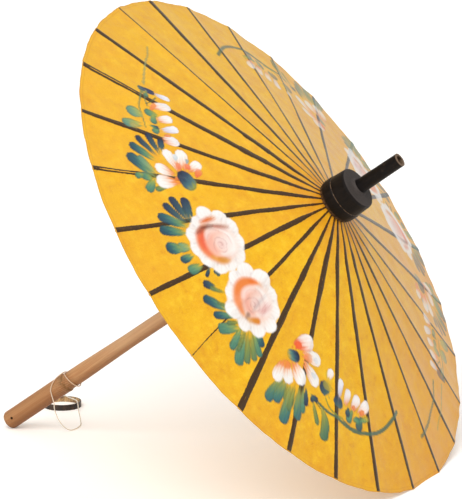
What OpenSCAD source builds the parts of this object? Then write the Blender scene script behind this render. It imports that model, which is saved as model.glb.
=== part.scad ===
// Oil paper umbrella: a folding bamboo parasol lying open on a floor, resting on two corners of its
// paper rim and on the butt of its handle. Every piece is drawn upright in shaft coordinates, with the
// butt at the origin and the shaft along +Z, and lying() then lays it down. The floor is z = 0.

/* [Canopy] */
// Number of ribs, each with its own stretcher
rib_count = 26; // [18:2:26]
// Radius of the paper at a rib's end
canopy_r = 300; // [270:5:330]
// Height of the rim above the handle's butt, along the shaft
rim_z = 410; // [390:5:430]
// Thickness of the oiled paper
paper_t = 0.5; // [0.4:0.1:0.8]
// Radius of the hole in the paper under the cap
paper_hole_r = 17.5; // [17:0.5:18]

/* [Fold] */
// Slope of the open ribs below square to the shaft
open_angle = 15.5; // [12:0.5:18]
// Radius of both rings of pivots, at the head and at the runner
pivot_r = 15; // [15:0.5:16]
// Distance from a rib's head pivot to its elbow, and from the elbow to the runner
link_l = 125; // [110:5:130]

/* [Shaft] */
// Overall length of the shaft
shaft_l = 578; // [570:1:590]
// Radius of the grip, near the butt
grip_r = 10.5; // [10:0.5:11.5]
// Radius where the runner slides
slide_r = 8.2; // [7.8:0.1:8.4]
// Radius at the hollow top end
tip_r = 7.5; // [7:0.1:7.8]
// Radius of the cord hole drilled through the handle
cord_hole_r = 1.6; // [1.2:0.2:2]

/* [Cap] */
// Height of the cap's flat top above the butt
cap_top_z = 521; // [516:1:526]
// Radius of the upper tier at its top
cap_top_r = 23.4; // [22:0.2:24]
// Largest radius of the lower tier
cap_low_r = 25; // [24.4:0.2:26]

/* [Closing ring and string] */
// Outer radius of the bamboo hoop that holds the umbrella shut
hoop_r = 22; // [21:0.5:24]
// Height of the hoop's band
hoop_h = 6.5; // [5:0.5:8]
// Diameter of the string
string_d = 1.2; // [1:0.1:1.4]

/* [Hidden] */
$fn = 48;
eps = 0.01;

function two(n) = n < 10 ? str("0", n) : str(n);

bamboo = "#c08a4e";
split_bamboo = "#c9a063";
lacquer = "#2b2623";
paper = "#e3a11f";
twine = "#e6d6b4";

// ribs: the side of a rib is drawn with its head pivot at the origin, x along it and z towards the paper
rib_w_head = 3.2;
rib_w = 3.7;
rib_lo = 2.2;            // underside of the strip above the pivot line
rib_hi = 4.2;            // top of the strip
strip_start = 9;         // where a tongue has become a full strip
rib_gap_to_rim = 3;
lug_r = 1.7;
fork_w = 1.5;
fork_top = 2;            // roof of the slot that takes the stretcher's tongue
cheek_l = 8;             // length of the elbow's cheeks
elbow_pin_r = 0.5;

// stretchers: drawn with the runner pivot at the origin, x towards the elbow
stretcher_w = 2.2;
stretcher_lo = 0.3;
stretcher_hi = 3;
stretcher_lug_r = 1.6;
tongue_w = 1.2;

wire_r = 0.5;            // the wires that the ribs and stretchers are threaded on
wire_hole_r = 0.52;      // their channel in the head and runner
lug_hole_r = 0.65;       // a lug's hole on its wire

slot_w = 1.7;
slot_floor_r = 10.6;     // inner wall of the slots in the head and runner
flange_r = 18.5;

paper_lo = rib_hi + 0.3; // underside of the paper above the pivot line
paper_hi = paper_lo + paper_t;
paper_seam = 0.05;       // half the seam between two gores
head_z = rim_z + (canopy_r - pivot_r) * tan(open_angle) - paper_hi / cos(open_angle);
runner_z = head_z - 2 * link_l * sin(open_angle);
rib_l = (canopy_r - pivot_r) / cos(open_angle) - rib_gap_to_rim;
head_top = 3.6;
head_foot = -4;
cap_z = head_z + 4.8;

// shaft profile
butt_round = 4;
grip_end_z = 88;
slide_start_z = 190;
tip_bore_r = 4.8;
tip_bore_l = 24;
cord_hole_z = 12;
node_ring_z = 93;

// catch: a sprung peg in a slot of the shaft, just under the open runner
runner_foot = -30;
catch_z = runner_z + runner_foot - 48;
catch_l = 47.2;
catch_w = 2.6;
catch_slot_w = 3.4;
catch_pin_r = 0.75;
catch_reach = 3;

// lying on the floor
low_r = (canopy_r - paper_t * sin(open_angle)) * cos(180 / rib_count);
low_z = rim_z - paper_t * cos(open_angle);
butt_x = grip_r - butt_round;
lie_angle = atan2(low_r - butt_x, low_z - butt_round)
    - asin(butt_round / norm([low_r - butt_x, low_z - butt_round]));
lie_z = low_r * cos(lie_angle) - low_z * sin(lie_angle);
lie_y = (low_r * sin(lie_angle) + rim_z * cos(lie_angle) - grip_r * sin(lie_angle)) / 2;

function rib_turn(i) = -90 + (i - 0.5) * 360 / rib_count;
// shaft coordinates, given as radius, turn and height, in floor coordinates
function laid(r, turn, z) = [
    r * cos(turn),
    lie_y + r * sin(turn) * sin(lie_angle) - z * cos(lie_angle),
    lie_z + r * sin(turn) * cos(lie_angle) + z * sin(lie_angle)
];

// string: tied round the handle, then down to the floor in a slack loop and over to the hoop
hoop_at = [109, 242];
wrap_r = grip_r + string_d / 2 + 0.15;
// turn and height of the string on the handle
wrap_route = [
    [105, 98], [130, 99.5], [155, 101], [180, 102.5], [205, 103.5], [232, 104], [260, 104],
    [288, 103.5], [315, 102.5], [340, 101], [365, 99.5], [390, 98], [415, 96.5], [440, 95.5],
    [462, 94], [468, 90.5], [474, 87], [490, 83], [508, 79.5], [526, 76.5], [544, 74.5]
];
// the free run, in floor coordinates
free_route = [
    [-10.5, 186, 38], [-9, 186, 30], [-6, 185, 22], [-2, 184, 15], [3, 182, 8.5], [9, 180, 3.5],
    [16, 178.5, 1], [25, 177.5, 0.8], [34, 178.5, 0.8], [44, 182, 0.8], [56, 189, 0.8], [68, 196, 0.8],
    [80, 203.5, 0.8], [91, 210.5, 1.5], [99, 215.5, 4.5], [105, 219.5, 7.4], [112, 225, 8],
    [119, 234, 7.4], [125, 243, 7], [128.6, 250, 7.6], [131.5, 255, 8.2]
];

module lying() {
    translate([0, lie_y, lie_z]) rotate([90 - lie_angle, 0, 0]) children();
}

// a flat shape in x and z, given the thickness w across y
module slab(w) {
    rotate([90, 0, 0]) translate([0, 0, -w / 2]) linear_extrude(w) children();
}

module across(r, w) {
    rotate([90, 0, 0]) cylinder(r = r, h = w, center = true);
}

module wire_ring(r) {
    rotate_extrude($fn = 96) translate([pivot_r, 0]) circle(r = r, $fn = 24);
}

module shaft() color(bamboo) lying() difference() {
    rotate_extrude($fn = 64) union() {
        translate([0, butt_round]) square([butt_x, 20]);
        square([butt_x, butt_round + eps]);
        translate([butt_x, butt_round]) intersection() {
            circle(r = butt_round);
            translate([0, -butt_round]) square([butt_round, butt_round + eps]);
        }
        polygon([
            [0, butt_round], [grip_r, butt_round], [grip_r, grip_end_z], [grip_r + 0.35, node_ring_z - 2],
            [grip_r + 0.35, node_ring_z - 0.5], [grip_r - 0.7, node_ring_z + 0.6], [grip_r - 0.9, 120],
            [slide_r, slide_start_z], [slide_r, cap_top_z - 25], [tip_r + 0.1, shaft_l - 20],
            [tip_r, shaft_l], [0, shaft_l]
        ]);
    }
    translate([0, 0, shaft_l - tip_bore_l]) cylinder(r = tip_bore_r, h = tip_bore_l + 1);
    translate([0, 0, cord_hole_z]) rotate([0, 90, 0]) cylinder(r = cord_hole_r, h = 3 * grip_r, center = true);
    translate([-catch_slot_w / 2, -slide_r - 1, catch_z - 4])
        cube([catch_slot_w, slide_r + 3.4, catch_l + 7]);
    translate([0, -3, catch_z]) rotate([0, 90, 0]) cylinder(r = catch_pin_r, h = 3 * slide_r, center = true);
}

module head() color(split_bamboo) lying() translate([0, 0, head_z]) {
    difference() {
        rotate_extrude($fn = 96) polygon([
            [slide_r, head_foot - 10], [slot_floor_r, head_foot - 10], [slot_floor_r + 1.4, head_foot],
            [flange_r, head_foot], [flange_r, head_top - 1.2], [flange_r - 1.6, head_top], [slide_r, head_top]
        ]);
        for (i = [1:rib_count]) rotate([0, 0, rib_turn(i)])
            translate([slot_floor_r, -slot_w / 2, head_foot - 11]) cube([12, slot_w, 11 - head_foot + 2.3]);
        wire_ring(wire_hole_r);
    }
    wire_ring(wire_r);
}

module cap() color(lacquer) lying() difference() {
    rotate_extrude($fn = 96) polygon([
        [slide_r, cap_z], [paper_hole_r, cap_z], [22.4, cap_z - 1.1], [23.2, cap_z - 0.6],
        [cap_low_r - 0.3, cap_z + 4], [cap_low_r, cap_z + 9], [cap_low_r - 0.1, cap_z + 13.4],
        [cap_low_r - 0.7, cap_z + 14], [cap_low_r - 1.1, cap_z + 14.6], [cap_low_r - 0.8, cap_z + 15.2],
        [cap_low_r - 0.8, cap_z + 16.4], [cap_top_r + 0.2, cap_top_z - 3], [cap_top_r - 0.2, cap_top_z - 0.9],
        [cap_top_r - 1.2, cap_top_z], [slide_r + 3.4, cap_top_z], [slide_r + 1.2, cap_top_z + 0.9],
        [slide_r + 0.5, cap_top_z + 3], [slide_r, cap_top_z + 3]
    ]);
    for (i = [1:rib_count]) rotate([0, 0, rib_turn(i + 0.5)])
        translate([22, -1, cap_z - 2]) cube([6, 2, 4.4]);
}

module runner() color(split_bamboo) lying() translate([0, 0, runner_z]) {
    difference() {
        rotate_extrude($fn = 96) polygon([
            [slide_r + 0.3, runner_foot], [slide_r + 3.2, runner_foot], [slide_r + 3.6, runner_foot + 1],
            [slide_r + 3.6, -9], [flange_r - 1.2, -4.6], [flange_r, -3.4], [flange_r, 3], [slide_r + 0.3, 3]
        ]);
        for (i = [1:rib_count]) rotate([0, 0, rib_turn(i)])
            translate([slot_floor_r, -slot_w / 2, -2.2]) cube([12, slot_w, 6]);
        wire_ring(wire_hole_r);
    }
    wire_ring(wire_r);
}

module catch() color(bamboo) lying() translate([0, -3, catch_z]) {
    difference() {
        rotate([0, 0, -90]) slab(catch_w) polygon([
            [-1.4, -2], [1.6, -2], [4.2, catch_l - 9], [slide_r + catch_reach - 3, catch_l - 3],
            [slide_r + catch_reach - 3, catch_l], [1.6, catch_l], [-1.4, catch_l - 18]
        ]);
        rotate([0, 90, 0]) cylinder(r = catch_pin_r + 0.05, h = 10, center = true);
    }
    rotate([0, 90, 0]) cylinder(r = catch_pin_r, h = 2 * slide_r - 3, center = true);
}

// one flat gore of paper, from the middle of one rib to the middle of the next
module gore() {
    half = 180 / rib_count;
    lift = paper_t * [sin(open_angle), cos(open_angle)];
    top = head_z + paper_hi / cos(open_angle) - (paper_hole_r - pivot_r) * tan(open_angle);
    rim = [canopy_r, rim_z];
    hole = [paper_hole_r, top];
    points = [for (e = [rim - lift, rim, hole, hole - lift], way = [-1, 1])
        [e[0] * cos(half), way * (e[0] * sin(half) - paper_seam), e[1]]];
    polyhedron(points, [[2, 3, 1, 0], [4, 5, 3, 2], [6, 7, 5, 4], [0, 1, 7, 6], [6, 4, 2, 0], [3, 5, 7, 1]]);
}

module canopy() color(paper) lying()
    for (i = [1:rib_count]) rotate([0, 0, rib_turn(i + 0.5)]) gore();

module closing_ring() color(split_bamboo) translate([hoop_at[0], hoop_at[1], 0]) difference() {
    cylinder(r = hoop_r, h = hoop_h, $fn = 96);
    translate([0, 0, -1]) cylinder(r = hoop_r - 1.7, h = hoop_h + 2, $fn = 96);
}

// a point at share t between route points p[i] and p[i + 1], on a smooth curve through all of them
function on_curve(p, i, t) =
    let (a = p[max(i - 1, 0)], b = p[i], c = p[i + 1], d = p[min(i + 2, len(p) - 1)])
    0.5 * (2 * b + (c - a) * t + (2 * a - 5 * b + 4 * c - d) * t * t + (3 * b - a - 3 * c + d) * t * t * t);
function unit(v) = v / norm(v);
function heading(p, k) = unit(p[min(k + 1, len(p) - 1)] - p[max(k - 1, 0)]);
// carries a side direction along the path without twisting it
function sides(p, k, was) = k == len(p) ? [] :
    let (h = heading(p, k), s = unit(was - h * (was * h))) concat([s], sides(p, k + 1, s));

module tube(route, d, steps) {
    path = concat(
        [for (i = [0:len(route) - 2], k = [0:steps - 1]) on_curve(route, i, k / steps)],
        [route[len(route) - 1]]
    );
    side = sides(path, 0, [0, 0, 1]);
    n = 8;
    points = [for (k = [0:len(path) - 1], j = [0:n - 1])
        let (h = heading(path, k), s = side[k], b = cross(h, s), a = j * 360 / n)
        path[k] + d / 2 * (s * cos(a) + b * sin(a))];
    last = (len(path) - 1) * n;
    polyhedron(points, concat(
        [[for (j = [0:n - 1]) j]],
        [for (k = [0:len(path) - 2], j = [0:n - 1])
            [k * n + j, (k + 1) * n + j, (k + 1) * n + (j + 1) % n, k * n + (j + 1) % n]],
        [[for (j = [0:n - 1]) last + n - 1 - j]]
    ));
}

module string() color(twine) tube(
    concat([for (w = wrap_route) laid(wrap_r, w[0], w[1])], free_route), string_d, 2
);

module rib(i) color(split_bamboo) lying() rotate([0, 0, rib_turn(i)])
    translate([pivot_r, 0, head_z]) rotate([0, open_angle, 0]) {
        difference() {
            union() {
                translate([0, 0, rib_lo]) linear_extrude(rib_hi - rib_lo) polygon([
                    [strip_start, -rib_w_head / 2], [link_l - 8, -rib_w / 2], [rib_l - 4, -rib_w / 2],
                    [rib_l, -rib_w / 2 + 0.8], [rib_l, rib_w / 2 - 0.8], [rib_l - 4, rib_w / 2],
                    [link_l - 8, rib_w / 2], [strip_start, rib_w_head / 2]
                ]);
                slab(tongue_w) union() {
                    circle(r = lug_r);
                    polygon([
                        [0, -lug_r], [strip_start + 2, 1.6], [strip_start + 2, rib_hi - 0.1], [strip_start - 1, rib_hi - 0.2],
                        [0, lug_r]
                    ]);
                }
                slab(rib_w) polygon([
                    [link_l - cheek_l, rib_lo + 0.2], [link_l - cheek_l / 2, -lug_r + 0.5], [link_l - 1.5, -lug_r],
                    [link_l + 1.5, -lug_r], [link_l + cheek_l / 2, -lug_r + 0.5], [link_l + cheek_l, rib_lo + 0.2]
                ]);
            }
            across(lug_hole_r, 6);
            translate([link_l - 15, -fork_w / 2, -5]) cube([30, fork_w, 5 + fork_top]);
            translate([link_l, 0, 0]) across(elbow_pin_r + 0.02, 6);
        }
        translate([link_l, 0, 0]) across(elbow_pin_r, rib_w);
    }

module stretcher(i) color(split_bamboo) lying() rotate([0, 0, rib_turn(i)])
    translate([pivot_r, 0, runner_z]) rotate([0, -open_angle, 0]) difference() {
        union() {
            for (end = [0, 1]) translate([end * link_l, 0, 0]) mirror([end, 0, 0]) slab(tongue_w) union() {
                circle(r = stretcher_lug_r);
                polygon([
                    [0, -stretcher_lug_r], [strip_start + 2, stretcher_lo + 0.2], [strip_start + 2, stretcher_hi - 0.2],
                    [strip_start, stretcher_hi - 0.2], [0, stretcher_lug_r]
                ]);
            }
            translate([strip_start, -stretcher_w / 2, stretcher_lo])
                cube([link_l - 2 * strip_start, stretcher_w, stretcher_hi - stretcher_lo]);
        }
        for (end = [0, 1]) translate([end * link_l, 0, 0]) across(lug_hole_r, 6);
    }

shaft();
head();
cap();
runner();
catch();
canopy();
closing_ring();
string();
for (i = [1:rib_count]) rib(i);
for (i = [1:rib_count]) stretcher(i);
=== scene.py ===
"""Oil paper umbrella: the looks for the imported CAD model.

Shapes are in millimetres in shaft coordinates (butt of the handle at the origin, shaft along +Z) until
laid() turns them into the row frame in metres, with the umbrella lying open on the floor. Materials work in
metres, except on the paper, which carries its own coordinates in millimetres.
"""
import math

import bmesh
import bpy
import numpy as np
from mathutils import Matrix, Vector


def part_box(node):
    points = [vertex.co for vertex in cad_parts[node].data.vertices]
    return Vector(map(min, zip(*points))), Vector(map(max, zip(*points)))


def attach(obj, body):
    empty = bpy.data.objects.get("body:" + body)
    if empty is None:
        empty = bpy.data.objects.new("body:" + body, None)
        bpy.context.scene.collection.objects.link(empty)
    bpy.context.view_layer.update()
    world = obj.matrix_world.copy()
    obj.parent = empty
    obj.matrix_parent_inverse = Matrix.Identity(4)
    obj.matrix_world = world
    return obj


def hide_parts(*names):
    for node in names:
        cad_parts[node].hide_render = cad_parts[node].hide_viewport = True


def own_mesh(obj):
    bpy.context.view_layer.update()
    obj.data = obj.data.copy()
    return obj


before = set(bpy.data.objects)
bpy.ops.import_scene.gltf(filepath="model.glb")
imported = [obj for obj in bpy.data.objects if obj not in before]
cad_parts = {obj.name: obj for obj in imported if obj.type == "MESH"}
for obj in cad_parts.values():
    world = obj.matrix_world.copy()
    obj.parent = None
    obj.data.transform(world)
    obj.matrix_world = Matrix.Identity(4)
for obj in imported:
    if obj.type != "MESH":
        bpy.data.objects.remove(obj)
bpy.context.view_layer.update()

MM = 0.001
TAU = 2 * math.pi

# ---- the CAD model's own dimensions ----
RIBS = 26
CANOPY_R = 300.0
RIM_Z = 410.0
HUB_R = 17.5
SLOPE = math.radians(15.5)
GRIP_R = 10.5
CORD_HOLE_Z = 12.0
LIE_ANGLE = math.radians(35.22094)
LIE_Y = 250.2843
LIE_Z = 7.00315
HALF_GORE = math.pi / RIBS
AXIS = Vector((0, -math.cos(LIE_ANGLE), math.sin(LIE_ANGLE)))
ACROSS = Vector((0, math.sin(LIE_ANGLE), math.cos(LIE_ANGLE)))
BUTT = Vector((0, LIE_Y, LIE_Z)) * MM


def laid(p):
    """Points in shaft coordinates, as metres in the row frame."""
    p = np.asarray(p, float)
    x, y, z = p[..., 0], p[..., 1], p[..., 2]
    s, c = math.sin(LIE_ANGLE), math.cos(LIE_ANGLE)
    return np.stack([x, LIE_Y + y * s - z * c, LIE_Z + y * c + z * s], -1) * MM


def rib_turn(i):
    """The direction of rib i round the shaft. The first two ribs lie either side of the lowest point."""
    return math.radians(-90) + (i - 0.5) * 2 * HALF_GORE


def colour(code, alpha=1.0):
    """A hexadecimal sRGB colour as linear RGBA."""
    c = [int(code[k:k + 2], 16) / 255 for k in (0, 2, 4)]
    return [v / 12.92 if v <= 0.04045 else ((v + 0.055) / 1.055) ** 2.4 for v in c] + [alpha]


def smooth(lo, hi, x):
    """0 below lo and 1 above hi, with a soft step between."""
    t = np.clip((x - lo) / (hi - lo), 0, 1)
    return t * t * (3 - 2 * t)


# ---- camera ----
def make_camera():
    data = bpy.data.cameras.new("camera")
    data.sensor_width = 36
    data.lens = 207.55
    data.clip_start, data.clip_end = 0.1, 50
    cam = bpy.data.objects.new("camera", data)
    bpy.context.scene.collection.objects.link(cam)
    cam.location = (-2.7214, -1.3397, 0.8367)
    cam.rotation_euler = Vector((0.88309, 0.42570, -0.19732)).to_track_quat("-Z", "Y").to_euler()
    bpy.context.scene.camera = cam


# ---- meshes ----
def new_object(name, verts, faces, smooth_faces=True):
    mesh = bpy.data.meshes.new(name)
    mesh.from_pydata([tuple(v) for v in verts], [], faces)
    mesh.update()
    mesh.polygons.foreach_set("use_smooth", [smooth_faces] * len(mesh.polygons))
    ob = bpy.data.objects.new(name, mesh)
    bpy.context.scene.collection.objects.link(ob)
    return ob


def on_curve(p, steps):
    """A smooth curve through all the points p, with steps points to each span."""
    p = np.asarray(p, float)
    ends = np.vstack([p[:1], p, p[-1:]])
    out = []
    for a, b, c, d in zip(ends[:-3], ends[1:-2], ends[2:-1], ends[3:]):
        for t in np.arange(steps) / steps:
            out.append(0.5 * (2 * b + (c - a) * t + (2 * a - 5 * b + 4 * c - d) * t * t
                              + (3 * b - a - 3 * c + d) * t ** 3))
    return np.array(out + [p[-1]])


def evenly(path, gap):
    """The path again with its points about a gap apart, and its length."""
    run = np.r_[0, np.cumsum(np.linalg.norm(np.diff(path, axis=0), axis=1))]
    at = np.linspace(0, run[-1], max(2, round(run[-1] / gap) + 1))
    return np.stack([np.interp(at, run, path[:, k]) for k in range(3)], 1), run[-1]


def twisted_cord(name, path, diameter, pitch, plies=3, sides=24):
    """A closed tube of twisted strands along the path, in metres. Its attribute "along" holds the turns of
    twist up to a point, its share of the way round the tube, and its distance along the path."""
    heading = np.gradient(path, axis=0)
    heading /= np.linalg.norm(heading, axis=1)[:, None]
    side = np.zeros_like(path)
    last = np.array([0.3, 0.2, 1.0])
    for k, h in enumerate(heading):
        last = last - h * (last @ h)
        last /= np.linalg.norm(last)
        side[k] = last
    other = np.cross(heading, side)
    run = np.r_[0, np.cumsum(np.linalg.norm(np.diff(path, axis=0), axis=1))]
    round_it = np.arange(sides) / sides * TAU
    lobe = 1 - 0.13 * (0.5 - 0.5 * np.cos(plies * (round_it[None] - run[:, None] / pitch * TAU)))
    taper = np.minimum(1, 0.55 + np.minimum(run, run[-1] - run) / diameter)[:, None]
    radius = diameter / 2 * lobe * taper
    verts = (path[:, None] + radius[..., None] * (
        side[:, None] * np.cos(round_it)[None, :, None] + other[:, None] * np.sin(round_it)[None, :, None]
    )).reshape(-1, 3)
    rings = len(path)
    faces = [tuple(range(sides - 1, -1, -1))]
    for k in range(rings - 1):
        for j in range(sides):
            n = (j + 1) % sides
            faces.append((k * sides + j, k * sides + n, (k + 1) * sides + n, (k + 1) * sides + j))
    faces.append(tuple((rings - 1) * sides + j for j in range(sides)))
    ob = new_object(name, verts, faces)
    along = ob.data.attributes.new("along", "FLOAT_VECTOR", "POINT")
    where = np.stack([
        np.repeat(run / pitch, sides), np.tile(round_it / TAU, rings), np.repeat(run, sides)
    ], 1)
    along.data.foreach_set("vector", where.ravel())
    return ob


# ---- string, on the same route as in the CAD model ----
STRING_D = 1.2
TWIST_PITCH = 3.6
POINT_GAP = 0.45
WRAP_R = GRIP_R + STRING_D / 2 + 0.15
# round the handle, as (degrees round the shaft, height)
WRAP_ROUTE = [
    (105, 98), (130, 99.5), (155, 101), (180, 102.5), (205, 103.5), (232, 104), (260, 104),
    (288, 103.5), (315, 102.5), (340, 101), (365, 99.5), (390, 98), (415, 96.5), (440, 95.5),
    (462, 94), (468, 90.5), (474, 87), (490, 83), (508, 79.5), (526, 76.5), (544, 74.5),
]
# down to the floor, along it and to the hoop, in the row frame
FREE_ROUTE = [
    (-10.5, 186, 38), (-9, 186, 30), (-6, 185, 22), (-2, 184, 15), (3, 182, 8.5), (9, 180, 3.5),
    (16, 178.5, 1), (25, 177.5, 0.8), (34, 178.5, 0.8), (44, 182, 0.8), (56, 189, 0.8), (68, 196, 0.8),
    (80, 203.5, 0.8), (91, 210.5, 1.5), (99, 215.5, 4.5), (105, 219.5, 7.4), (112, 225, 8),
    (119, 234, 7.4), (125, 243, 7), (128.6, 250, 7.6), (131.5, 255, 8.2),
]


def make_string(material):
    turn = np.radians([t for t, _ in WRAP_ROUTE])
    height = np.array([h for _, h in WRAP_ROUTE])
    wrapped = laid(np.stack([WRAP_R * np.cos(turn), WRAP_R * np.sin(turn), height], 1))
    route = np.vstack([wrapped, np.array(FREE_ROUTE) * MM])
    path, length = evenly(on_curve(route, 12), POINT_GAP * MM)
    cord = twisted_cord("string_cord", path, STRING_D * MM, TWIST_PITCH * MM)
    cord.data.materials.append(material)
    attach(cord, "shaft_and_canopy")
    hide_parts("string")


# ---- the painting on the paper ----
class Canvas:
    """Paint on scattered points of the paper, each with a place in the canopy's plan."""

    def __init__(self, points):
        self.points = points
        self.rgb = np.zeros((len(points), 3))
        self.alpha = np.zeros(len(points))
        self.turned = 1
        self.strength = 1.0
        self.move((0, 0))

    def move(self, shift):
        """Sets where the strokes go: turned is 1, or -1 for half a turn, and then comes the shift."""
        self.local = self.turned * (self.points - np.array(shift, float))

    def near(self, lo, hi):
        """The points inside a box."""
        p = self.local
        return np.flatnonzero((p[:, 0] > lo[0]) & (p[:, 0] < hi[0]) & (p[:, 1] > lo[1]) & (p[:, 1] < hi[1]))

    def lay(self, at, rgb, alpha):
        """Puts paint over what is there."""
        alpha = alpha * self.strength
        under = self.alpha[at] * (1 - alpha)
        total = np.maximum(alpha + under, 1e-6)
        self.rgb[at] = (rgb * alpha[:, None] + self.rgb[at] * under[:, None]) / total[:, None]
        self.alpha[at] = alpha + under

    def dab(self, root, tip, width, colours, root_width=0.45, bend=0.0, dry=0.0, edge=0.8, side=0.15,
            rim=0.3):
        """A one-stroke brush mark from root to tip, widest at the tip. The colours run from root to tip,
        dry is the share of the length at the root that fades out, side shifts colour across the stroke
        and rim darkens its border."""
        root, tip = np.array(root, float), np.array(tip, float)
        length = np.linalg.norm(tip - root)
        e = (tip - root) / length
        n = np.array([-e[1], e[0]])
        big, small = width / 2, width / 2 * root_width
        reach = big + abs(bend) * length + 2
        at = self.near(np.minimum(root, tip) - reach, np.maximum(root, tip) + reach)
        if not len(at):
            return
        q = self.local[at] - root
        x = q @ e
        t = np.clip(x / length, 0, 1)
        y = q @ n - bend * length * 4 * t * (1 - t)
        r = small + (big - small) * smooth(0, 0.85, t)
        bristle = np.sin(9 * y / big + 3 * root[0]) * np.sin(0.35 * x + root[1])
        streak = np.sin(14 * y / big + 5 * root[1] + 0.1 * x) + 0.6 * np.sin(23 * y / big + root[0])
        d = np.where(x < 0, np.hypot(x, y) - small, np.where(x > length, np.hypot(x - length, y) - big,
                     np.abs(y) - r)) + 0.3 * bristle
        alpha = np.clip(0.5 - d / edge, 0, 1)
        if dry:
            alpha *= smooth(0, dry, t + 0.12 * bristle)
        run = (x + small) / (length + small + big) + side * y / big + 0.06 * bristle + 0.05 * streak
        run = np.clip(run, 0, 1)
        stops = np.linspace(0, 1, len(colours))
        rgba = np.array([colour(*c) if isinstance(c, tuple) else colour(c) for c in colours])
        mixed = np.stack([np.interp(run, stops, rgba[:, k]) for k in range(4)], 1)
        shade = (1 + 0.35 * rim * streak) * (1 - rim * np.exp(-((d + 0.5) / 0.9) ** 2))
        self.lay(at, np.clip(mixed[:, :3] * shade[:, None], 0, 1), alpha * mixed[:, 3])

    def dabs(self, strokes, **style):
        """Dabs in one style, each as (root x, root y, tip x, tip y, width, colours)."""
        for *ends, width, colours in strokes:
            self.dab(ends[:2], ends[2:], width, colours, **style)

    def arc(self, centre, radius, start, end, width, code, alpha=1.0, soft=0.8):
        """A curved mark round the centre, thinning to its ends, from one turn to another in degrees."""
        centre = np.array(centre, float)
        reach = radius + width + soft + 2
        at = self.near(centre - reach, centre + reach)
        q = self.local[at] - centre
        turn = np.degrees(np.arctan2(q[:, 1], q[:, 0]))
        share = ((turn - start) % 360) / ((end - start) % 360 or 360)
        body = np.clip(4 * share * (1 - share), 0, 1)
        d = np.abs(np.hypot(q[:, 0], q[:, 1]) - radius) - width / 2 * body
        paint = alpha * np.clip(0.5 - d / soft, 0, 1) * smooth(0, 0.5, body)
        self.lay(at, np.array(colour(code)[:3]), paint)

    def disc(self, centre, radius, inner, outer, light=(0, 0), soft=0.9, alpha=1.0):
        """A round patch that shades from the inner colour, at its light point, to the outer one."""
        centre = np.array(centre, float)
        reach = radius + soft / 2 + 1
        at = self.near(centre - reach, centre + reach)
        q = self.local[at] - centre
        d = np.hypot(q[:, 0], q[:, 1]) - radius
        share = smooth(0.1, 1.25, np.hypot(q[:, 0] - light[0], q[:, 1] - light[1]) / radius)
        a, b = np.array(colour(inner)[:3]), np.array(colour(outer)[:3])
        self.lay(at, a + (b - a) * share[:, None], alpha * np.clip(0.5 - d / soft, 0, 1))

    def line(self, points, start_width, end_width, code, alpha=0.9):
        """A thin drawn stem through the points."""
        path = on_curve([(x, y, 0) for x, y in points], 8)[:, :2]
        n = len(path) - 1
        for k, (a, b) in enumerate(zip(path[:-1], path[1:])):
            width = start_width + (end_width - start_width) * k / n
            reach = width + 1.5
            at = self.near(np.minimum(a, b) - reach, np.maximum(a, b) + reach)
            q = self.local[at] - a
            s = np.clip(q @ (b - a) / ((b - a) @ (b - a)), 0, 1)
            d = np.linalg.norm(q - s[:, None] * (b - a), axis=1) - width / 2
            paint = alpha * np.clip(0.5 - d / 0.8, 0, 1)
            more = paint > self.alpha[at]
            self.lay(at[more], np.array(colour(code)[:3]), paint[more])


# how far each group of a garland is moved
FIRST_GARLAND = [(0, 0)] * 6
SECOND_GARLAND = [(20, -16), (41, -22), (55, -24), (57, -22), (52, -14), (49, -9)]

NAVY = ["5b7a5a", "3d5a63", "2b3350"]
TEAL = [("c9b13c", 0.55), "8fa055", "5a8a6c", "33606a", "2a4a5c"]
GREEN = [("cdb43a", 0.6), "93a552", "5f9070", "4a7c6c"]
SOFT_TEAL = [("c9b13c", 0.4), ("a8a24a", 0.8), "7f9458", "4f7f6c", "3c6c72"]
PALE_LEAF = [("d8bb44", 0.5), "a9ae5c", "7a9f78", "5c8a7a"]
OLIVE = [("c9ad34", 0.5), "a8a043", "7f8f4c", "5f7f5c"]
PETAL = [("e97e30", 0.85), "f0995c", "f5dccb", "f8f4ef", "f5f0ec"]
RED_PETAL = ["e34e26", "ec7c50", "f5dfd3", "f6f0ed"]
WHITE = [("f2d3b6", 0.9), "f5e9de", "f7f3f0"]
BUD = [("e87a34", 0.85), "f0a070", "f6ded0", "f7f1ee", "f4ecec"]
COOL_BUD = [("dcae98", 0.8), "d8d2de", "eceaf2", "f4f3f7"]


# the thin lines between the rolled petals of a rose, as both ends from the middle of its ball, bend and
# strength
FOLDS = [
    (-9, -8, -2, 3, 0.18, 0.6), (-3, 3, 8, 0, 0.25, 0.6), (8, 1, 5, -9, 0.22, 0.5),
    (-6, -9, 5, -10, -0.25, 0.5), (-2, -1, 3, -6, 0.35, 0.6), (-3, -2, 2, -8, -0.30, 0.5),
    (3, -2, 0, -5, 0.35, 0.5), (-4, 14, 11, 7, 0.16, 0.45), (11, 8, 15, -8, 0.16, 0.4),
    (-12, 2, -3, 12, 0.20, 0.3),
]


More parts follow.
